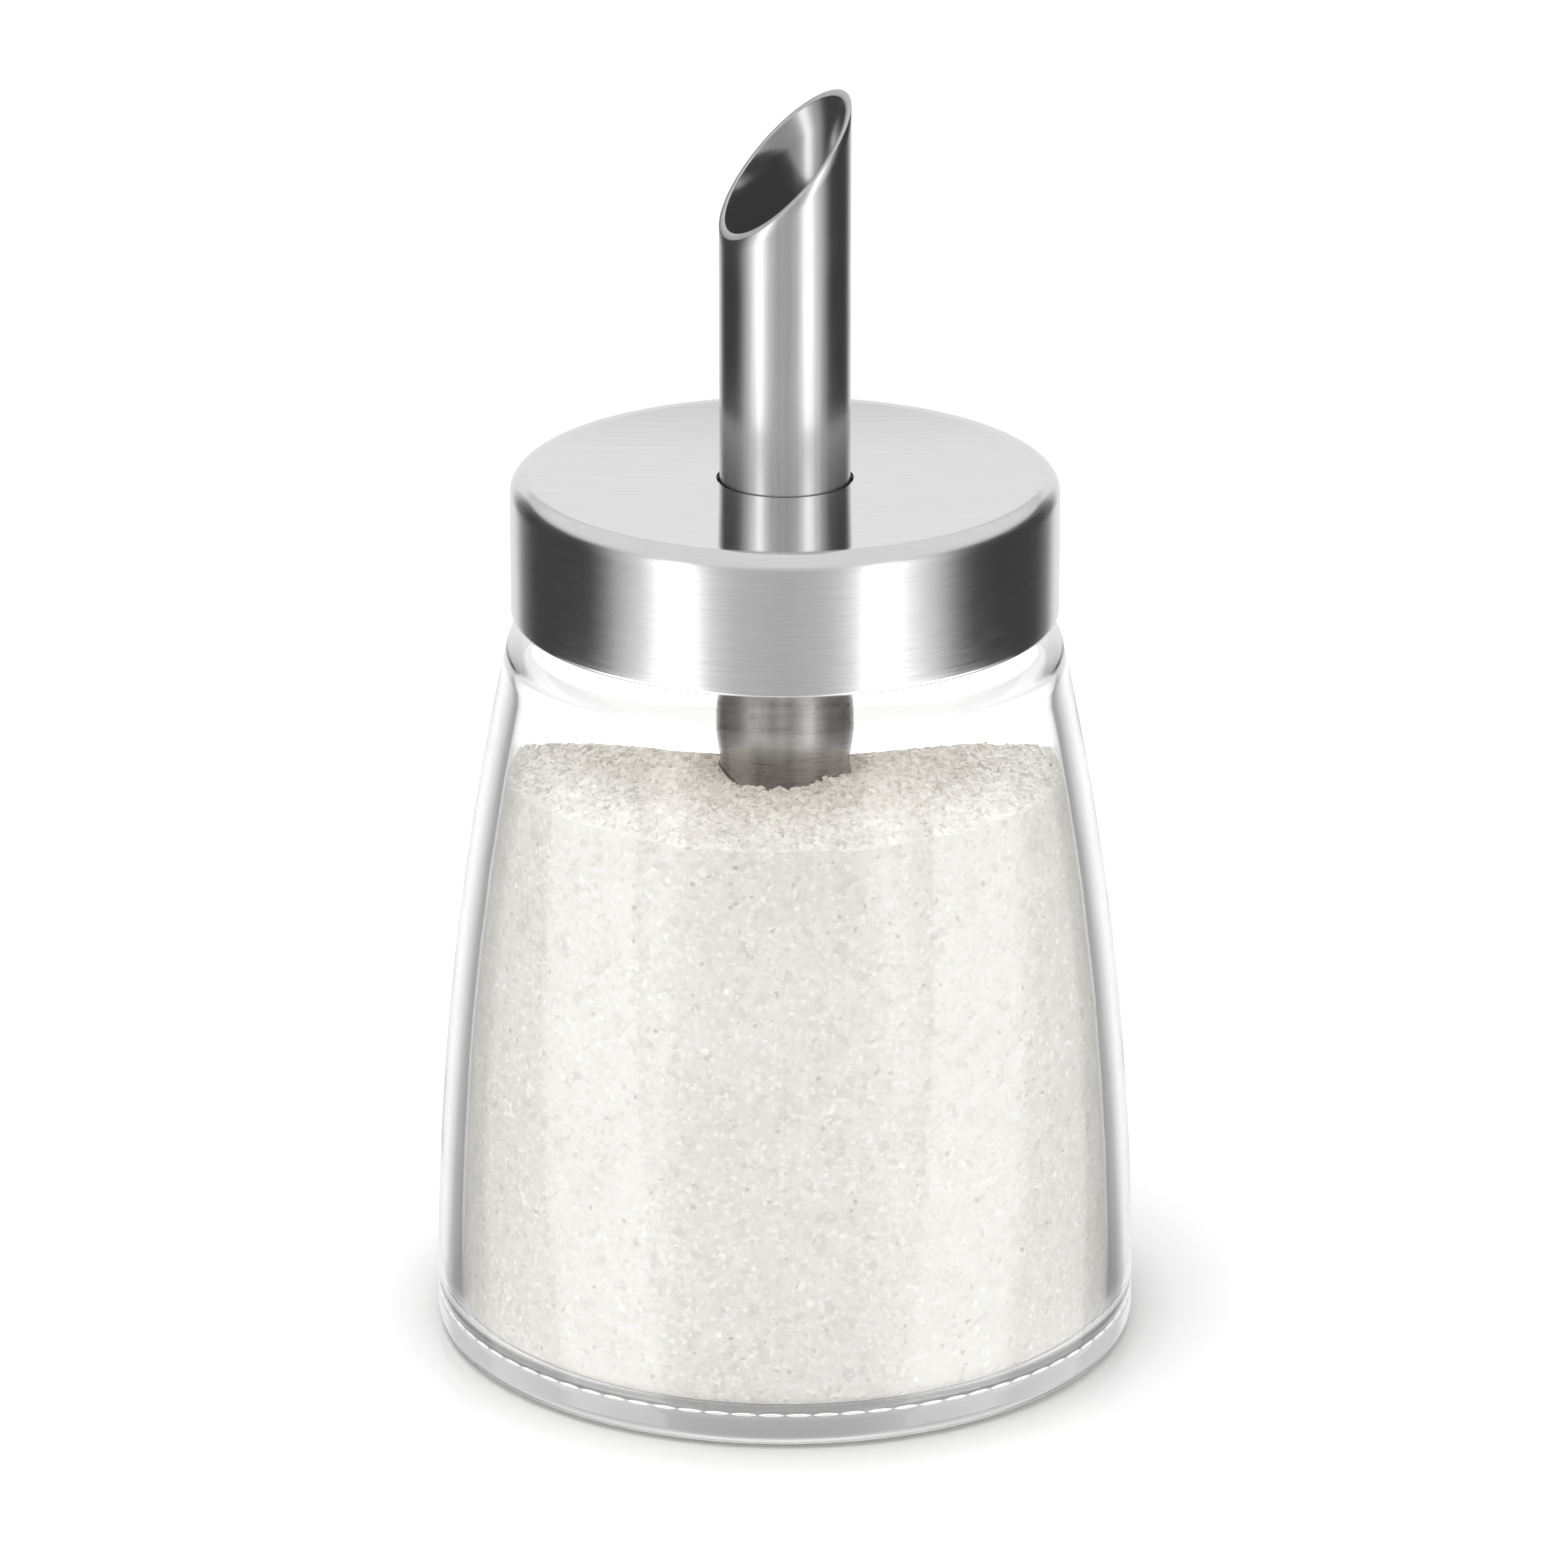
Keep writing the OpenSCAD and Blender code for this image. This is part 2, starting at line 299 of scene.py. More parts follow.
def brushedSheet(name, look):
    material, tree, shader, place = newMaterial(name)
    shader.inputs["Metallic"].default_value = 1.0
    shader.inputs["Anisotropic"].default_value = look["anisotropy"]
    shader.inputs["Anisotropic Rotation"].default_value = 0.25
    tangent = addNode(tree, "ShaderNodeTangent", direction_type="RADIAL", axis="Z")
    tree.links.new(tangent.outputs["Tangent"], shader.inputs["Tangent"])
    # scratches run round the side, and straight across the top
    facing = addRamp(tree, addAxis(tree, place.outputs["Normal"], "Z"), look["topFacing"])
    sideLines = addNoise(tree, place, look["sideStretch"], detail=4, roughness=0.6)
    topLines = addNoise(tree, place, look["topStretch"], detail=4, roughness=0.6)
    lines = blend(tree, facing, sideLines, topLines)
    tree.links.new(addRamp(tree, lines, look["tones"]), shader.inputs["Base Color"])
    rough = blend(tree, facing, addRamp(tree, sideLines, look["sideRoughness"]),
                  addRamp(tree, topLines, look["topRoughness"]))
    tree.links.new(rough, shader.inputs["Roughness"])
    addBump(tree, shader, lines, look["bump"], 0.02 * mm)
    return material


def satinTube(name, look):
    material, tree, shader, place = newMaterial(name)
    shader.inputs["Metallic"].default_value = 1.0
    drawn = addNoise(tree, place, (1.5, 1.5, 0.02), detail=3)
    smear = addNoise(tree, place, (0.05, 0.05, 0.15), detail=2)
    # inside the jar, from 84 mm down to 76 mm, the tube turns darker and rougher, with fine scratches
    # and long runs
    inJar = addSoftStep(tree, addAxis(tree, place.outputs["Object"], "Z"), *look["inJarHeights"])
    scratches = addNoise(tree, place, (0.2, 0.2, 5), detail=3)
    runs = addNoise(tree, place, (0.3, 0.3, 0.012), detail=2)
    inJarTone = addRamp(tree, blend(tree, 0.3, runs, scratches), look["inJarTones"])
    outside = mixColours(tree, inJar, addRamp(tree, drawn, look["tones"]), inJarTone)
    polish = blend(tree, inJar, addRamp(tree, smear, look["roughness"]),
                   addRamp(tree, scratches, look["inJarRoughness"]))
    # the drawn bore gets a darker tone than the polished outside: painted shade in the tube's hollow
    bore = addMath(tree, "LESS_THAN", axisDistance(tree, place), look["boreRadius"])
    tone = mixColours(tree, bore, outside, (*[look["boreShadedTone"]] * 3, 1))
    tree.links.new(tone, shader.inputs["Base Color"])
    tree.links.new(blend(tree, bore, polish, look["boreRoughness"]), shader.inputs["Roughness"])
    # and the bore glows faintly: painted light in the hollow
    tree.links.new(addMath(tree, "MULTIPLY", bore, look["borePaintedGlow"]),
                   shader.inputs["Emission Strength"])
    addBump(tree, shader, drawn, look["bump"], 0.01 * mm)
    return material


def granulatedSugar(name, look):
    material, tree, shader, place = newMaterial(name)
    # cells of two sizes, each with three numbers of its own
    cells, numbers = [], []
    for size in ("grain", "flake"):
        cell = addNode(tree, "ShaderNodeTexVoronoi", {"Scale": 1 / look[size]})
        tree.links.new(place.outputs["Object"], cell.inputs["Vector"])
        single = addNode(tree, "ShaderNodeSeparateColor")
        tree.links.new(cell.outputs["Color"], single.inputs["Color"])
        cells.append(cell.outputs["Color"])
        numbers.append(single.outputs)
    grain, flake = numbers
    patches = addNoise(tree, place, (1, 1, 1), detail=3, scale=90)
    # warmer and darker round the tube, where the heap shades itself
    share = addMath(tree, "DIVIDE", axisDistance(tree, place), look["shadeReach"])
    tone = addRamp(tree, grain["Red"], look["tones"])
    for source, tones in ((flake["Red"], "flakeTones"), (patches, "patches"), (share, "shade")):
        tone = multiply(tree, tone, addRamp(tree, source, look[tones]))
    tree.links.new(tone, shader.inputs["Base Color"])
    gloss = addRamp(tree, grain["Green"], look["roughness"])
    tree.links.new(gloss, shader.inputs["Roughness"])
    shader.inputs["Subsurface Weight"].default_value = look["glow"]
    shader.inputs["Subsurface Radius"].default_value = (1, 0.95, 0.85)
    shader.inputs["Subsurface Scale"].default_value = 0.6 * mm
    # painted light: the sugar glows, standing in for light that has wandered through the heap, and
    # glows most where it looks up
    tree.links.new(tone, shader.inputs["Emission Color"])
    up = addRamp(tree, addAxis(tree, place.outputs["Normal"], "Z"), look["upFacing"])
    paintedGlow = blend(tree, up, look["inner"], look["innerTop"])
    # and a few grains glow as painted glints, as if they threw a lamp's light straight back
    bright = addMath(tree, "GREATER_THAN", grain["Blue"], look["paintedGlintShare"])
    paintedGlint = addMath(tree, "MULTIPLY", bright, look["paintedGlint"])
    tree.links.new(addMath(tree, "ADD", paintedGlow, paintedGlint), shader.inputs["Emission Strength"])
    # each grain's face is tilted its own way: normal + tilt (cell colour - 0.5), made unit length
    spread = addNode(tree, "ShaderNodeVectorMath", operation="SUBTRACT")
    spread.inputs[1].default_value = (0.5, 0.5, 0.5)
    tree.links.new(cells[0], spread.inputs[0])
    tilt = addNode(tree, "ShaderNodeVectorMath", operation="SCALE")
    tilt.inputs["Scale"].default_value = look["tilt"]
    tree.links.new(spread.outputs["Vector"], tilt.inputs[0])
    normal = addNode(tree, "ShaderNodeNewGeometry")
    total = addNode(tree, "ShaderNodeVectorMath", operation="ADD")
    tree.links.new(normal.outputs["Normal"], total.inputs[0])
    tree.links.new(tilt.outputs["Vector"], total.inputs[1])
    unit = addNode(tree, "ShaderNodeVectorMath", operation="NORMALIZE")
    tree.links.new(total.outputs["Vector"], unit.inputs[0])
    tree.links.new(unit.outputs["Vector"], shader.inputs["Normal"])
    return material


def mouldedPlastic(name, colour, roughness, grain):
    material, tree, shader, place = newMaterial(name)
    fine = addNoise(tree, place, (1, 1, 1), detail=4, scale=grain)
    low = [c * 0.94 for c in colour]
    tree.links.new(addRamp(tree, fine, [(0.3, low), (0.7, colour)]), shader.inputs["Base Color"])
    rough = [(0.3, roughness - 0.06), (0.7, roughness + 0.06)]
    tree.links.new(addRamp(tree, fine, rough), shader.inputs["Roughness"])
    addBump(tree, shader, fine, 0.15, 0.05 * mm)
    return material


# Jar

jar = {
    "radius": jarHigh.x,
    "rim": jarHigh.z,
    "shoulder": 79.2 * mm,
    "shoulderRound": 4 * mm,
    "ledge": 0.8 * mm,
    "neck": 24.6 * mm,
    "neckWall": 2.8 * mm,
    "rimRound": 0.9 * mm,
    "neckFillet": 0.3 * mm,
    "innerRound": 5 * mm,
    "poleRadius": 0.4 * mm,
    "wall": 2.5 * mm,
    "floor": 2.3 * mm,
    "pushUp": 1.2 * mm,
    "heel": 1.5 * mm,
    "innerHeel": 3 * mm,
    "footWidth": 4.5 * mm,
    "lead": 4 * mm,
    "turns": 1.25,
    "threadRise": 2.2 * mm,
    "threadDepth": 1.4 * mm,
    "ridgeFoot": 1.9 * mm,
    "ridgeCrest": 0.9 * mm,
    "fadeTurns": 0.09,
    "grooveHeight": 3.7 * mm,
    "grooveDepth": 0.16 * mm,
    "grooveHalf": 0.55 * mm,
    "columns": 288,
}
jar["drawWidth"] = jar["radius"] - jar["neck"] - jar["ledge"]
jar["drawHeight"] = jar["shoulder"] - jar["shoulderRound"] - jar["heel"]
jar["wallArc"] = ((jar["drawWidth"] ** 2 + jar["drawHeight"] ** 2 - jar["shoulderRound"] ** 2)
                  / (2 * (jar["drawWidth"] - jar["shoulderRound"])))
jar["arcX"] = jar["radius"] - jar["wallArc"]
jar["footIn"] = jar["radius"] - jar["heel"] - jar["footWidth"]
jar["dome"] = (jar["footIn"] ** 2 + jar["pushUp"] ** 2) / (2 * jar["pushUp"])
jar["domeZ"] = jar["pushUp"] - jar["dome"]


def wallX(z, inset):
    # distance from the axis of a surface that lies inset behind the jar's outside at height z
    return jar["arcX"] + np.sqrt((jar["wallArc"] - inset) ** 2 - (z - jar["heel"]) ** 2)


def wallAngle(z, inset):
    # the angle on the wall's long arc, in degrees
    return math.degrees(math.asin((z - jar["heel"]) / (jar["wallArc"] - inset)))


def insideProfile(gap, top, count):
    # floor, corner and wall of the hollow, or of what fills it with a gap, up to height top
    inset = jar["wall"] + gap
    cornerZ = jar["floor"] + gap + jar["innerHeel"]
    cornerX = wallX(cornerZ, inset + jar["innerHeel"])
    cornerAngle = wallAngle(cornerZ, inset + jar["innerHeel"])
    dome = jar["dome"] + jar["floor"] + gap
    domeEnd = min(jar["footIn"], cornerX - jar["innerHeel"] / 2)
    firstAngle = math.degrees(math.acos(jar["poleRadius"] / dome))
    return joinProfile(
        arcPoints(0, jar["domeZ"], dome, firstAngle, math.degrees(math.acos(domeEnd / dome)), 14),
        arcPoints(cornerX, cornerZ, jar["innerHeel"], -90, cornerAngle, 14),
        arcPoints(jar["arcX"], jar["heel"], jar["wallArc"] - inset, cornerAngle,
                  wallAngle(top, inset), count))


def jarMesh():
    j = jar
    roundZ = j["shoulder"] - j["shoulderRound"]
    roundAngle = wallAngle(roundZ, j["shoulderRound"])
    fillet = j["neckFillet"]
    domeAngles = [math.degrees(math.acos(x / j["dome"])) for x in (j["poleRadius"], j["footIn"])]
    outside = joinProfile(
        arcPoints(0, j["domeZ"], j["dome"], domeAngles[0], domeAngles[1], 12),
        arcPoints(j["radius"] - j["heel"], j["heel"], j["heel"], -90, 0, 12),
        arcPoints(j["arcX"], j["heel"], j["wallArc"], 0, 0.9, 40),
        arcPoints(j["arcX"], j["heel"], j["wallArc"], 0.9, roundAngle, 44),
        arcPoints(wallX(roundZ, j["shoulderRound"]), roundZ, j["shoulderRound"],
                  roundAngle, 90, 14),
        [[j["neck"] + fillet, j["shoulder"]], [j["neck"], j["shoulder"] + fillet]],
        linePoints((j["neck"], j["shoulder"] + fillet), (j["neck"], j["rim"] - j["rimRound"]), 48),
        arcPoints(j["neck"] - j["rimRound"], j["rim"] - j["rimRound"], j["rimRound"], 0, 90, 8))
    ceiling = j["shoulder"] - j["wall"]
    innerZ = ceiling - j["innerRound"]
    innerX = wallX(innerZ, j["wall"] + j["innerRound"])
    throat = j["neck"] - j["neckWall"]
    lip = j["rimRound"] / 2
    inside = joinProfile(
        insideProfile(0, innerZ, 40),
        arcPoints(innerX, innerZ, j["innerRound"], wallAngle(innerZ, j["wall"]), 84, 12),
        arcPoints(throat + fillet, ceiling + fillet, fillet, -90, -180, 5),
        linePoints((throat, ceiling + fillet), (throat, j["rim"] - lip), 8),
        arcPoints(throat + lip, j["rim"] - lip, lip, 180, 90, 5))
    profile = joinProfile(outside, inside[::-1])
    # the shallow groove in which the heel's row of pearls sits
    away = np.abs(profile[:, 1] - j["grooveHeight"]) / j["grooveHalf"]
    onWall = profile[:, 0] > j["radius"] - 0.5 * mm
    profile[:, 0] -= np.where(onWall, j["grooveDepth"] * (1 - smoothStep(away)), 0)
    grid = turned(profile, j["columns"])
    # the thread: a ridge whose middle climbs by the lead in each turn, and fades out at both ends
    turn = np.linspace(0, 1, j["columns"], endpoint=False)[None, :]
    z = profile[:, 1][:, None]
    onNeck = (np.arange(len(profile)) < len(outside)) & (profile[:, 1] > j["shoulder"] + 0.2 * mm)
    start = j["shoulder"] + j["threadRise"] + j["ridgeFoot"] / 2
    ridge = np.zeros(grid.shape[:2])
    for whole in (0, 1):
        along = turn + whole
        fade = smoothStep(np.minimum(along, j["turns"] - along) / j["fadeTurns"])
        off = np.abs(z - start - along * j["lead"])
        slope = (j["ridgeFoot"] - j["ridgeCrest"]) / 2
        ridge = np.maximum(ridge, fade * smoothStep((j["ridgeFoot"] / 2 - off) / slope))
    grown = 1 + onNeck[:, None] * ridge * j["threadDepth"] / profile[:, 0][:, None]
    grid[..., :2] *= grown[..., None]
    return surfaceMesh("glassJar", grid, lowPole=[0, 0, j["pushUp"]],
                       highPole=[0, 0, j["pushUp"] + j["floor"]])


glassLook = {
    "base": (0.99, 0.992, 0.99),
    "bending": 1.5,
    "wave": 0.04,
    "waveScale": 90,
    "density": 5.0,
    "tint": (0.2, 0.22, 0.2),
}
# light by height in the thick floor
trapped = [(0, 0.4), (0.3 * mm, 0.65), (1.2 * mm, 0.28), (3 * mm, 0.10), (5 * mm, 0.06),
           (8 * mm, 0)]
glass = pressedGlass("clearPressedGlass", {**glassLook, "trapped": trapped})
addPiece("glassJar", jarMesh(), "jar", glass, ["glass_jar"])

pearls = {
    "count": 82,
    "halfLength": 1.3 * mm,
    "halfHeight": 0.17 * mm,
    "height": 0.15 * mm,
    "sunk": 0.08 * mm,
    "rings": 4,
    "around": 16,
    # each drop gathers the light of the heel behind it
    "look": {**glassLook, "glow": 0.16},
}


def pearlMesh():
    # one long drop, its flat side sunk in the groove, repeated round the heel
    rings, around = pearls["rings"], pearls["around"]
    a = np.linspace(0, math.pi / 2, rings + 1)[:-1]
    b = np.linspace(0, 2 * math.pi, around, endpoint=False)
    lift = pearls["height"] * np.sin(a)[:, None] + 0 * b
    across = pearls["halfLength"] * np.cos(a)[:, None] * np.cos(b)
    up = pearls["halfHeight"] * np.cos(a)[:, None] * np.sin(b)
    base = jar["radius"] - jar["grooveDepth"]
    points = np.stack([base + lift, across, up + jar["grooveHeight"]], axis=2).reshape(-1, 3)
    back = [base - pearls["sunk"], 0, jar["grooveHeight"]]
    points = np.vstack([points, [base + pearls["height"], 0, jar["grooveHeight"]], back])
    tip, root = len(points) - 2, len(points) - 1
    faces = []
    for k in range(around):
        n = (k + 1) % around
        for row in range(rings - 1):
            low, high = row * around, (row + 1) * around
            faces += [[low + k, low + n, high + n], [low + k, high + n, high + k]]
        top = (rings - 1) * around
        faces += [[top + k, top + n, tip], [n, k, root]]
    faces = np.array(faces)
    turns = np.linspace(0, 2 * math.pi, pearls["count"], endpoint=False)
    c, s = np.cos(turns)[:, None], np.sin(turns)[:, None]
    x, y = points[:, 0][None, :], points[:, 1][None, :]
    z = np.broadcast_to(points[:, 2], (len(turns), len(points)))
    every = np.stack([c * x - s * y, s * x + c * y, z], axis=2).reshape(-1, 3)
    index = faces[None] + (np.arange(len(turns)) * len(points))[:, None, None]
    mesh = bpy.data.meshes.new("heelPearls")
    mesh.from_pydata(every.tolist(), [], index.reshape(-1, 3).tolist())
    mesh.shade_smooth()
    return mesh


pearlGlass = pressedGlass("pearlGlass", pearls["look"])
addPiece("heelPearls", pearlMesh(), "jar", pearlGlass)

# Sugar

sugar = {
    "gap": 0.25 * mm,
    "level": sugarHigh.z,
    "bore": tubeHigh.x - 1.5 * mm + 0.25 * mm,
    "boreFloor": 5.05 * mm,
    "slope": math.radians(24),
    "slopeStart": 3.4 * mm,
    "craterWidth": 4 * mm,
    "craterDepth": 2 * mm,
    "grain": 0.62 * mm,
    "heave": 0.35 * mm,
    "drift": 0.07 * mm,
    "settle": 0.2 * mm,
    "rings": 110,
    "sideRows": 32,
    "columns": 520,
    "look": {
        "grain": 0.42 * mm,
        "tones": [(0.0, (0.62, 0.60, 0.56)), (0.012, (0.79, 0.775, 0.75)), (0.2, (0.83, 0.815, 0.79)),
                  (0.6, (0.865, 0.85, 0.825)), (0.9, (0.89, 0.875, 0.85)), (0.97, (0.95, 0.94, 0.925))],
        "upFacing": [(0.45, 0.0), (0.85, 1.0)],
        "flake": 1.1 * mm,
        "flakeTones": [(0.0, (0.90, 0.88, 0.86)), (0.15, (0.97, 0.965, 0.955)), (0.9, (1, 1, 1))],
        "patches": [(0.3, (0.97, 0.965, 0.95)), (0.7, (1, 1, 1))],
        "shadeReach": 31 * mm,
        "shade": [(0.22, (0.74, 0.695, 0.64)), (0.45, (0.88, 0.855, 0.82)),
                  (0.72, (0.975, 0.968, 0.957)), (1.0, (0.99, 0.99, 0.985))],
        "roughness": [(0.0, 0.2), (0.25, 0.7)],
        "glow": 0.2,
        # painted light: how strongly the sugar glows on its side and on its top
        "inner": 0.12,
        "innerTop": 0.47,
        # painted glints: a few grains glow
        "paintedGlint": 0.18,
        "paintedGlintShare": 0.955,
        "tilt": 0.3,
    },
}


def heapHeight(x, y):
    # level in front, a slope that falls away behind the tube, and a funnel round the tube
    s = sugar
    height = s["level"] - np.maximum(0, y - s["slopeStart"]) * math.tan(s["slope"])
    distance = np.hypot(x, y)
    funnel = (s["bore"] + s["craterWidth"] - distance) / s["craterWidth"]
    wander = 0.6 + 0.4 * np.sin(3 * np.arctan2(y, x) + 1.0)
    inFront = smoothStep((s["slopeStart"] - y) / s["slopeStart"])
    return height - s["craterDepth"] * wander * inFront * smoothStep(funnel)


def sugarMesh():
    s = sugar
    u = np.linspace(0, 2 * math.pi, s["columns"], endpoint=False)
    # where the heap meets the wall: its radius and height settle after a few rounds
    edge = np.full(s["columns"], wallX(s["level"], jar["wall"] + s["gap"]))
    for _ in range(6):
        edgeZ = heapHeight(edge * np.cos(u), edge * np.sin(u))
        edge = wallX(edgeZ, jar["wall"] + s["gap"])
    t = np.linspace(0, 1, s["rings"])[:, None]
    r = s["bore"] + t * (edge - s["bore"])
    top = np.stack([r * np.cos(u), r * np.sin(u), np.zeros_like(r)], axis=2)
    top[..., 2] = heapHeight(top[..., 0], top[..., 1])
    calm = smoothStep(t * 30)
    bumps = 0.75 - grainField(top, s["grain"])
    drift = np.sin(5 * u + 1) + np.sin(11 * u) + np.sin(17 * u + 2)
    top[..., 2] += s["heave"] * calm * bumps + t * drift * s["drift"] - s["settle"]
    # the last round ends on the glass
    edgeZ = top[-1, :, 2].copy()
    edge = wallX(edgeZ, jar["wall"] + s["gap"])
    top[-1, :, 0], top[-1, :, 1] = edge * np.cos(u), edge * np.sin(u)
    bore = turned(joinProfile([[jar["poleRadius"], s["boreFloor"]]], [[s["bore"], s["boreFloor"]]],
                              linePoints((s["bore"], s["boreFloor"]),
                                         (s["bore"], s["level"] - 3 * mm), 6)), s["columns"])
    # the side follows the glass from the heap's edge down to the floor
    side = insideProfile(s["gap"], s["level"], s["sideRows"])[::-1]
    outer = turned(side, s["columns"])
    low = jar["floor"] + s["gap"] + jar["innerHeel"]
    shrink = (outer[..., 2] - low) / (s["level"] - low)
    above = shrink > 0
    z = np.where(above, low + shrink * (edgeZ[None, :] - low), outer[..., 2])
    radius = np.where(above, wallX(z, jar["wall"] + s["gap"]), side[:, 0][:, None])
    outer = np.stack([radius * np.cos(u), radius * np.sin(u), z], axis=2)
    grid = np.concatenate([bore, top, outer[1:]])
    # a bore's floor looks up and the heap's underside looks down, so the poles are swapped
    mesh = surfaceMesh("sugarHeap", grid[::-1],
                       lowPole=[0, 0, jar["pushUp"] + jar["floor"] + s["gap"]],
                       highPole=[0, 0, s["boreFloor"]])
    mesh.set_sharp_from_angle(angle=math.radians(60))
    return mesh


sugarLook = granulatedSugar("granulatedSugar", sugar["look"])
addPiece("sugarHeap", sugarMesh(), "jar", sugarLook, ["sugar_fill"])

crystals = {
    "count": 5600,
    "size": (0.4 * mm, 0.95 * mm),
    "sunk": 0.16 * mm,
}


def crystalMesh():
    # small oblong blocks, each turned its own way, strewn over the heap
    c = crystals
    n = c["count"]
    edge = wallX(sugar["level"], jar["wall"] + sugar["gap"]) - 0.7 * mm
    inner = sugar["bore"] + 0.5 * mm
    r = np.sqrt(rng.uniform(inner ** 2, edge ** 2, n))
    u = rng.uniform(0, 2 * math.pi, n)
    x, y = r * np.cos(u), r * np.sin(u)
    centre = np.stack([x, y, heapHeight(x, y) - c["sunk"]], axis=1)
    size = rng.uniform(*c["size"], (n, 3)) / 2
    corner = np.array([[x, y, z] for x in (-1, 1) for y in (-1, 1) for z in (-1, 1)])
    axis = rng.normal(size=(n, 3))
    axis /= np.linalg.norm(axis, axis=1)[:, None]
    angle = rng.uniform(0, math.pi, n)[:, None, None]
    block = corner[None] * size[:, None, :]
    # turned about a random axis k by angle a: v cos a + (k x v) sin a + k (k.v)(1 - cos a)
    k = axis[:, None, :]
    dot = np.sum(block * k, axis=2, keepdims=True)
    block = (block * np.cos(angle) + np.cross(np.broadcast_to(k, block.shape), block)
             * np.sin(angle) + k * dot * (1 - np.cos(angle)))
    points = (block + centre[:, None, :]).reshape(-1, 3)
    faces = np.array([[0, 1, 3, 2], [4, 6, 7, 5], [0, 4, 5, 1], [2, 3, 7, 6], [0, 2, 6, 4],
                      [1, 5, 7, 3]])
    index = (faces[None] + (np.arange(n) * 8)[:, None, None]).reshape(-1, 4)
    mesh = bpy.data.meshes.new("sugarCrystals")
    mesh.from_pydata(points.tolist(), [], index.tolist())
    return mesh


addPiece("sugarCrystals", crystalMesh(), "jar", sugarLook)

# Lid

lid = {
    "radius": shellHigh.x,
    "top": shellHigh.z,
    "skirt": shellLow.z,
    "sheet": 0.5 * mm,
    "edge": 2 * mm,
    "dish": 0.6 * mm,
    "hem": 0.6 * mm,
    "hole": 7.15 * mm,
    "holeLip": (0.04 * mm, 0.03 * mm),
    "columns": 320,
    "look": {
        "anisotropy": 0.75,
        "sideStretch": (0.2, 0.2, 9),
        "topStretch": (0.12, 3, 1),
        "topFacing": [(0.6, 0.0), (0.9, 1.0)],
        "tones": [(0.3, 0.72), (0.7, 0.785)],
        "sideRoughness": [(0.3, 0.17), (0.7, 0.25)],
        "topRoughness": [(0.3, 0.07), (0.7, 0.11)],
        "bump": 0.12,
    },
}


def lidMesh():
    s = lid
    ringX = s["radius"] - s["edge"]
    ball = (ringX ** 2 + s["dish"] ** 2) / (2 * s["dish"])
    ballZ = s["top"] - s["dish"] + ball
    under = ball + s["sheet"]
    hemX = s["radius"] - s["sheet"] - s["hem"]

    def dishAngle(x, radius):
        return math.degrees(math.asin(x / radius)) - 90

    edgeZ = s["top"] - s["edge"]
    inner = s["edge"] - s["sheet"]
    lipWidth, lipDrop = s["holeLip"]
    profile = joinProfile(
        arcPoints(s["radius"] - s["sheet"], s["skirt"] + s["sheet"], s["sheet"], -90, 0, 8),
        linePoints((s["radius"], s["skirt"] + s["sheet"]), (s["radius"], edgeZ), 16),
        arcPoints(ringX, edgeZ, s["edge"], 0, 90, 16),
        arcPoints(0, ballZ, ball, dishAngle(ringX, ball), dishAngle(s["hole"] + lipWidth, ball), 24),
        [[s["hole"], s["top"] - s["dish"] - lipDrop]],
        arcPoints(0, ballZ, under, dishAngle(s["hole"], under), dishAngle(ringX, under), 12),
        arcPoints(ringX, edgeZ, inner, 88, 0, 8),
        linePoints((s["radius"] - s["sheet"], edgeZ),
                   (s["radius"] - s["sheet"], s["skirt"] + s["sheet"]), 6),
        [[s["radius"] - s["sheet"], s["skirt"] + s["sheet"]],
         [hemX, s["skirt"] + s["sheet"]], [hemX, s["skirt"]]])
    mesh = surfaceMesh("lidShell", turned(profile, s["columns"]), wrapRows=True)
    mesh.set_sharp_from_angle(angle=math.radians(50))
    return mesh


addPiece("lidShell", lidMesh(), "lid", brushedSheet("brushedLidSteel", lid["look"]),
         ["lid_shell"])

# Thread in the insert: it runs half a lead below the glass thread and ends at the same turn

insertThread = {
    "rootRadius": 26.75 * mm,
    "crestRadius": 24.95 * mm,
    "endDepth": 0.2 * mm,
    "turns": 1.0,
    "startTurn": 0.25,
    "columns": 144,
}


def insertThreadMesh():
    s = insertThread
    t = np.linspace(0, 1, s["columns"] + 1)
    turn = s["startTurn"] + s["turns"] * t
    fade = smoothStep(np.minimum(t, 1 - t) * s["turns"] / jar["fadeTurns"])
    middle = (jar["shoulder"] + jar["threadRise"] + jar["ridgeFoot"] / 2
              + (turn - 0.5) * jar["lead"])
    shallow = s["rootRadius"] - s["endDepth"]
    crest = shallow + (s["crestRadius"] - shallow) * fade
    foot, tip = jar["ridgeFoot"] / 2, jar["ridgeCrest"] / 2
    section = [(0 * t + s["rootRadius"], -foot), (0 * t + s["rootRadius"], foot), (crest, tip),
               (crest, -tip)]
    rings = []
    for radius, offset in section:
        a = 2 * math.pi * turn
        rings.append(np.stack([radius * np.cos(a), radius * np.sin(a), middle + offset], axis=1))
    points = np.stack(rings, axis=1).reshape(-1, 3)
    i = np.arange(s["columns"])[:, None] * 4
    k = np.arange(4)[None, :]
    n = (k + 1) % 4
    faces = np.stack([i + k, i + 4 + k, i + 4 + n, i + n], axis=2).reshape(-1, 4).tolist()
    last = 4 * s["columns"]
    faces += [[0, 1, 2, 3], [last + 3, last + 2, last + 1, last]]
    mesh = bpy.data.meshes.new("insertThread")
    mesh.from_pydata(points.tolist(), [], faces)
    mesh.shade_smooth()
    mesh.set_sharp_from_angle(angle=math.radians(30))
    return mesh


insertPlastic = mouldedPlastic("insertPlastic", (0.80, 0.80, 0.77), 0.45, 700)
addPiece("insertThread", insertThreadMesh(), "lid", insertPlastic)

# Tube

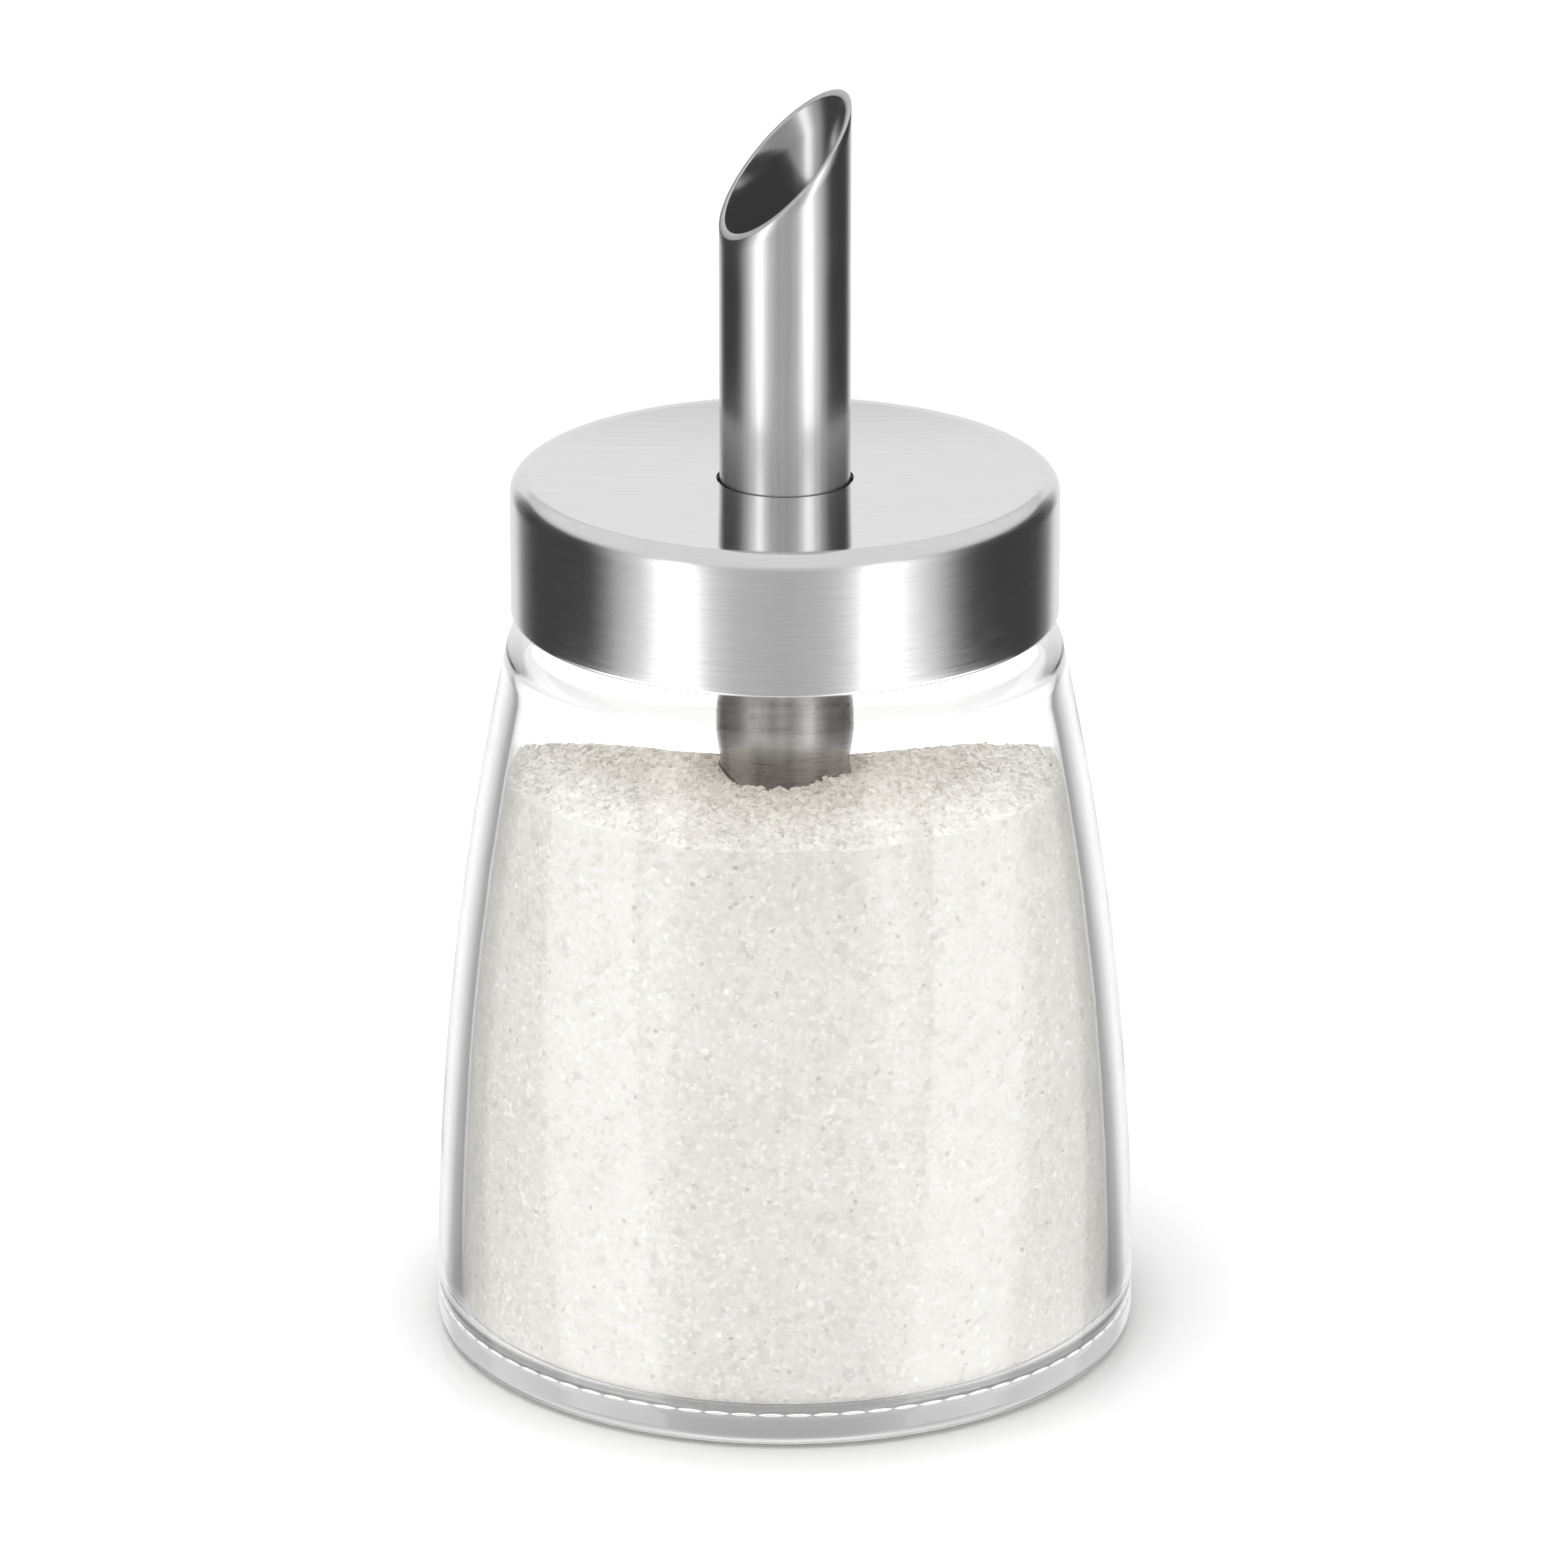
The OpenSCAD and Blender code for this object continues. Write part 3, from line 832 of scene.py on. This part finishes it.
tube = {
    "radius": 6.85 * mm,
    "wall": 0.65 * mm,
    "tip": tubeHigh.z,
    "foot": tubeLow.z,
    "topAngle": math.radians(46),
    "footAngle": math.radians(30),
    "spout": math.radians(26),
    "edge": 0.07 * mm,
    "beadTop": 93.3 * mm,
    "bead": 0.9 * mm,
    "beadWidth": 1.5 * mm,
    "columns": 192,
    "look": {
        "tones": [(0.3, 0.60), (0.7, 0.69)],
        "roughness": [(0.3, 0.21), (0.7, 0.27)],
        # inside the jar the tube is darker and rougher below these heights
        "inJarHeights": (84 * mm, 76 * mm),
        "inJarTones": [(0.36, (0.17, 0.162, 0.155)), (0.62, (0.46, 0.447, 0.435))],
        "inJarRoughness": [(0.3, 0.26), (0.7, 0.32)],
        "boreRadius": 6.25 * mm,
        # the bore's painted shade and its faint painted glow
        "boreShadedTone": 0.42,
        "boreRoughness": 0.17,
        "borePaintedGlow": 0.02,
        "bump": 0.05,
    },
}


def tubeMesh():
    # the wall's cross-section, at each angle stretched between the two slanted cut planes
    s = tube
    u = np.linspace(0, 2 * math.pi, s["columns"], endpoint=False)
    rise = np.cos(u - s["spout"])
    inner = s["radius"] - s["wall"]
    tanTop, tanFoot = math.tan(s["topAngle"]), math.tan(s["footAngle"])

    def topZ(r):
        return s["tip"] - (s["radius"] - r * rise) * tanTop

    def footZ(r):
        return s["foot"] + (s["radius"] + r * rise) * tanFoot

    e = s["edge"]
    rows = []

    def addRow(r, z):
        rows.append(np.stack([r * np.cos(u), r * np.sin(u), z + 0 * u], axis=1))

    def addWall(r, z0, z1, count):
        for t in np.linspace(0, 1, count):
            addRow(r, z0 * (1 - t) + z1 * t)

    beadLow = s["beadTop"] - s["bead"]
    addRow(s["radius"] - e, footZ(s["radius"] - e))
    addRow(s["radius"] - 0.3 * e, footZ(s["radius"]) + 0.3 * e)
    addWall(s["radius"], footZ(s["radius"]) + e, beadLow, 24)
    half = s["bead"] / 2
    for a in np.radians(np.linspace(-90, 90, 9)):
        addRow(s["radius"] + s["beadWidth"] - half + half * math.cos(a),
               beadLow + half + half * math.sin(a))
    addWall(s["radius"], s["beadTop"], topZ(s["radius"]) - e, 24)
    addRow(s["radius"] - 0.3 * e, topZ(s["radius"] - 0.3 * e) - 0.3 * e)
    addRow(s["radius"] - e, topZ(s["radius"] - e))
    addRow(inner + e, topZ(inner + e))
    addRow(inner + 0.3 * e, topZ(inner + 0.3 * e) - 0.3 * e)
    addWall(inner, topZ(inner) - e, footZ(inner) + e, 40)
    addRow(inner + e, footZ(inner + e))
    mesh = surfaceMesh("pouringTube", np.array(rows), wrapRows=True)
    mesh.set_sharp_from_angle(angle=math.radians(40))
    return mesh


addPiece("pouringTube", tubeMesh(), "lid", satinTube("satinTubeSteel", tube["look"]),
         ["pouring_tube"])

# The moulded and rubber pieces keep their solids and get a finish
plain = {
    "lid_insert": insertPlastic,
    "rim_seal": mouldedPlastic("sealSilicone", (0.74, 0.74, 0.70), 0.55, 400),
    "tube_washer": mouldedPlastic("washerRubber", (0.05, 0.05, 0.05), 0.7, 500),
}
for nodeName, finish in plain.items():
    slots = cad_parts[nodeName].data.materials
    slots.clear()
    slots.append(finish)
print("finished the insert, the seal and the washer")

# Studio

studio = {
    "floorSize": 3.0,
    "floorDrop": 0.1 * mm,
    "floorTone": 0.71,
    "floorRoughness": 0.1,
    "floorGloss": 0.4,
    "floorLift": 0.27,
    # the share of that lift, by distance from the axis: less close to the jar, a painted shadow round
    # its foot
    "liftSpread": [(0, 0), (36 * mm, 0), (39 * mm, 0.4), (43 * mm, 0.7), (50 * mm, 0.9),
                   (80 * mm, 1.0)],
    "floorThroughGlass": 0.5,
    # painted shade on the floor under the jar, and through the glass a painted dark fan beside it
    "under": [(0, 0.2), (31 * mm, 0.25), (36 * mm, 0.5), (44 * mm, 1.0)],
    "fanRadius": 36 * mm,
    "fan": [(-180, 1.0), (8, 1.0), (13, 0.93), (18, 0.85), (22, 0.80), (25.6, 0.70), (29, 0.59),
            (32, 0.50), (36, 0.34), (60, 0.22), (90, 0.22), (140, 0.6), (180, 1.0)],
    # what the glass bends into view, by compass direction
    "bent": [(-180, 1.12), (-172, 1.1), (-165, 0.95), (-158, 0.8), (-150, 0.55), (-145, 0.35),
             (-120, 0.25), (-90, 0.25), (-30, 0.5), (0, 0.6), (30, 0.5), (90, 0.25), (120, 0.25),
             (145, 0.35), (150, 0.55), (158, 0.8), (165, 0.95), (172, 1.1), (180, 1.12)],
    "dome": 0.88,
    "domeInside": 1.75,
    "domeDeep": 1.9,
    "lampSize": 0.5,
    "lampPlace": (-0.1, -0.15, 0.9),
    "lampTurn": (-9.5, -6.3, 0),
    "lampPower": 4.0,
    # reflected brightness by compass direction: degrees from the front, positive to the right
    "ring": [(-180, 0.93), (-154, 0.88), (-143, 0.22), (-131, 0.06), (-104, 0.06), (-89, 0.06),
             (-81, 0.20), (-74, 0.50), (-62, 0.80), (-55, 1.3), (-50, 2.0), (-42, 2.2), (-37, 1.25),
             (-30, 0.75), (-20, 0.58), (0, 0.52), (14, 0.57), (22, 0.68), (29, 0.95), (34, 1.6),
             (38, 2.1), (45, 2.0), (51, 1.2), (60, 0.85), (69, 0.53), (77, 0.20), (85, 0.07),
             (101, 0.05), (131, 0.06), (143, 0.22), (154, 0.88), (180, 0.93)],
    # and by height: the sine of the elevation, above the ring
    "ringTop": (0.33, 0.40),
    "overhead": [(0.36, 0.7), (0.42, 0.7), (0.55, 0.85), (0.95, 0.85)],
    # strip lights close to the jar's sides, which only its glass mirrors: each is bent along
    # three uprights, given by their feet and heads on the right-hand side
    "stripFeet": [(27.1, -54.5), (44.8, -36.6), (51.5, -10.6)],
    "stripHeads": [(33.0, -38.5), (41.4, -18.1), (43.5, -3.7)],
    "stripBend": (0, 0.42, 1),
    "stripHeights": (-10 * mm, 65 * mm, 70 * mm),
    "stripLevel": 3.5,
    "stripFade": [(0, 0.6), (0.03, 1.0), (0.38, 1.0), (0.5, 0.4), (0.9, 0.3), (1.0, 0.0)],
}


def buildWorld():
    # seen directly or through glass the world is white; metal and glass reflect a ring of
    # softboxes and dark flags; everything matt is lit by an even dome
    s = studio
    world = bpy.data.worlds.new("studioWorld")
    bpy.context.scene.world = world
    world.use_nodes = True
    tree = world.node_tree
    background = tree.nodes["Background"]
    place = addNode(tree, "ShaderNodeTexCoord")
    axes = addNode(tree, "ShaderNodeSeparateXYZ")
    tree.links.new(place.outputs["Generated"], axes.inputs["Vector"])
    front = addMath(tree, "MULTIPLY", axes.outputs["Y"], -1)
    degrees = addMath(tree, "DEGREES", addMath(tree, "ARCTAN2", axes.outputs["X"], front))
    ring = addLevels(tree, degrees, s["ring"], -180, 180)
    overhead = addLevels(tree, axes.outputs["Z"], s["overhead"], 0, 1)
    above = addSoftStep(tree, axes.outputs["Z"], *s["ringTop"])
    mirrored = blend(tree, above, ring, overhead)
    path = addNode(tree, "ShaderNodeLightPath")
    through = stepsOver(tree, path, "Transmission", 0)
    bent = addLevels(tree, degrees, s["bent"], -180, 180)
    seen = blend(tree, stepsOver(tree, path, "Glossy", 0), blend(tree, through, 1.0, bent), mirrored)
    # light that goes into the jar and out again loses some at each face of the glass
    deep = blend(tree, stepsOver(tree, path, "Diffuse", 1), s["domeInside"], s["domeDeep"])
    dome = blend(tree, stepsOver(tree, path, "Transmission", 2), s["dome"], deep)
    level = blend(tree, stepsOver(tree, path, "Diffuse", 0), seen, dome)
    tree.links.new(level, background.inputs["Strength"])
    background.inputs["Color"].default_value = (1, 1, 1, 1)


def buildFloor():
    s = studio
    half = s["floorSize"] / 2
    mesh = bpy.data.meshes.new("floor")
    # a hair below the glass, so that the two faces don't coincide
    corners = [(-half, -half), (half, -half), (half, half), (-half, half)]
    mesh.from_pydata([(*c, -s["floorDrop"]) for c in corners], [], [(0, 1, 2, 3)])
    floor = bpy.data.objects.new("floor", mesh)
    bpy.context.scene.collection.objects.link(floor)
    material, tree, shader, place = newMaterial("paleFloor")
    shader.inputs["Roughness"].default_value = s["floorRoughness"]
    shader.inputs["Specular IOR Level"].default_value = s["floorGloss"]
    # a little light of its own, only where the floor is seen directly or through glass
    path = addNode(tree, "ShaderNodeLightPath")
    sharp = addMath(tree, "SUBTRACT", 1.0, stepsOver(tree, path, "Diffuse", 0))
    direct = addMath(tree, "SUBTRACT", 1.0, stepsOver(tree, path, "Glossy", 0))
    glazed = stepsOver(tree, path, "Transmission", 0)
    seen = addMath(tree, "MULTIPLY", sharp, addMath(tree, "MAXIMUM", direct, glazed))
    # through the glass, the floor is painted darker in a fan behind the jar's sides, painted shade that
    # stands in for dark cards there: an angle from straight back, seen from the jar's side, and a level
    axes = addNode(tree, "ShaderNodeSeparateXYZ")
    tree.links.new(place.outputs["Object"], axes.inputs["Vector"])
    across = addMath(tree, "ABSOLUTE", axes.outputs["X"])
    aside = addMath(tree, "SUBTRACT", across, s["fanRadius"])
    angle = addMath(tree, "DEGREES", addMath(tree, "ARCTAN2", aside, axes.outputs["Y"]))
    fan = addLevels(tree, angle, s["fan"], -180, 180)
    # and painted shade dims it under the jar
    away = axisDistance(tree, place)
    paintedShade = addMath(tree, "MULTIPLY", fan, addLevels(tree, away, s["under"]))
    shown = blend(tree, addMath(tree, "MULTIPLY", seen, glazed), 1.0, paintedShade)
    tree.links.new(addMath(tree, "MULTIPLY", shown, s["floorTone"]), shader.inputs["Base Color"])
    spread = addMath(tree, "MULTIPLY", addLevels(tree, away, s["liftSpread"]), s["floorLift"])
    lift = blend(tree, glazed, spread, s["floorThroughGlass"])
    lift = addMath(tree, "MULTIPLY", addMath(tree, "MULTIPLY", seen, lift), shown)
    tree.links.new(lift, shader.inputs["Emission Strength"])
    shader.inputs["Emission Color"].default_value = (1, 1, 1, 1)
    mesh.materials.append(material)
    floor.visible_glossy = False


def buildStrips():
    # one-sided cards, bright towards the jar and fading out at the top
    s = studio
    low, fadeFrom, top = s["stripHeights"]
    material, tree, shader, place = newMaterial("stripLight")
    tree.nodes.remove(shader)
    fade = addNode(tree, "ShaderNodeMapRange")
    fade.inputs["From Min"].default_value = top
    fade.inputs["From Max"].default_value = fadeFrom
    fade.inputs["To Max"].default_value = s["stripLevel"]
    tree.links.new(addAxis(tree, place.outputs["Object"], "Z"), fade.inputs["Value"])
    # and along the card, by its UV
    along = addLevels(tree, addAxis(tree, place.outputs["UV"], "X"), s["stripFade"])
    glow = addNode(tree, "ShaderNodeEmission")
    tree.links.new(addMath(tree, "MULTIPLY", fade.outputs["Result"], along),
                   glow.inputs["Strength"])
    clear = addNode(tree, "ShaderNodeBsdfTransparent")
    geometry = addNode(tree, "ShaderNodeNewGeometry")
    mix = addNode(tree, "ShaderNodeMixShader")
    tree.links.new(geometry.outputs["Backfacing"], mix.inputs["Fac"])
    tree.links.new(glow.outputs[0], mix.inputs[1])
    tree.links.new(clear.outputs[0], mix.inputs[2])
    tree.links.new(mix.outputs[0], tree.nodes["Material Output"].inputs["Surface"])
    for name, side in (("leftStrip", -1), ("rightStrip", 1)):
        mesh = bpy.data.meshes.new(name)
        feet = [(side * x * mm, y * mm, low) for x, y in s["stripFeet"]]
        heads = [(side * x * mm, y * mm, top) for x, y in s["stripHeads"]]
        quads = [(0, 1, 4, 3), (1, 2, 5, 4)]
        mesh.from_pydata(feet + heads, [], quads if side < 0 else [q[::-1] for q in quads])
        uv = mesh.uv_layers.new(name="along")
        for loop in mesh.loops:
            uv.data[loop.index].uv = (s["stripBend"][loop.vertex_index % 3], 0)
        mesh.materials.append(material)
        strip = bpy.data.objects.new(name, mesh)
        bpy.context.scene.collection.objects.link(strip)
        strip.visible_camera = False
        strip.visible_diffuse = False
        strip.visible_transmission = False
        strip.visible_shadow = False


def buildLamp():
    s = studio
    light = bpy.data.lights.new("topLamp", "AREA")
    light.shape = "DISK"
    light.size = s["lampSize"]
    light.energy = s["lampPower"]
    lamp = bpy.data.objects.new("topLamp", light)
    lamp.location = s["lampPlace"]
    lamp.visible_camera = False
    lamp.visible_glossy = False
    lamp.visible_transmission = False
    lamp.rotation_euler = [math.radians(a) for a in s["lampTurn"]]
    bpy.context.scene.collection.objects.link(lamp)


def buildCamera():
    # the photo's view: seen 19.8 degrees from above with a long lens from 0.86 m
    photo = {"pixels": 1568, "focal": 7898.0, "down": 19.776, "back": 0.7878, "up": 0.3433}
    camera = bpy.data.cameras.new("photoCamera")
    camera.sensor_width = 36
    camera.lens = photo["focal"] * camera.sensor_width / photo["pixels"]
    camera.shift_x = -1 / photo["pixels"]
    camera.clip_end = 20
    view = bpy.data.objects.new("photoCamera", camera)
    view.location = (0, -photo["back"], photo["up"])
    view.rotation_euler = (math.radians(90 - photo["down"]), 0, 0)
    bpy.context.scene.collection.objects.link(view)
    bpy.context.scene.camera = view


buildWorld()
buildFloor()
buildStrips()
buildLamp()
buildCamera()
bpy.context.scene.view_settings.view_transform = "Standard"
print("studio is set")
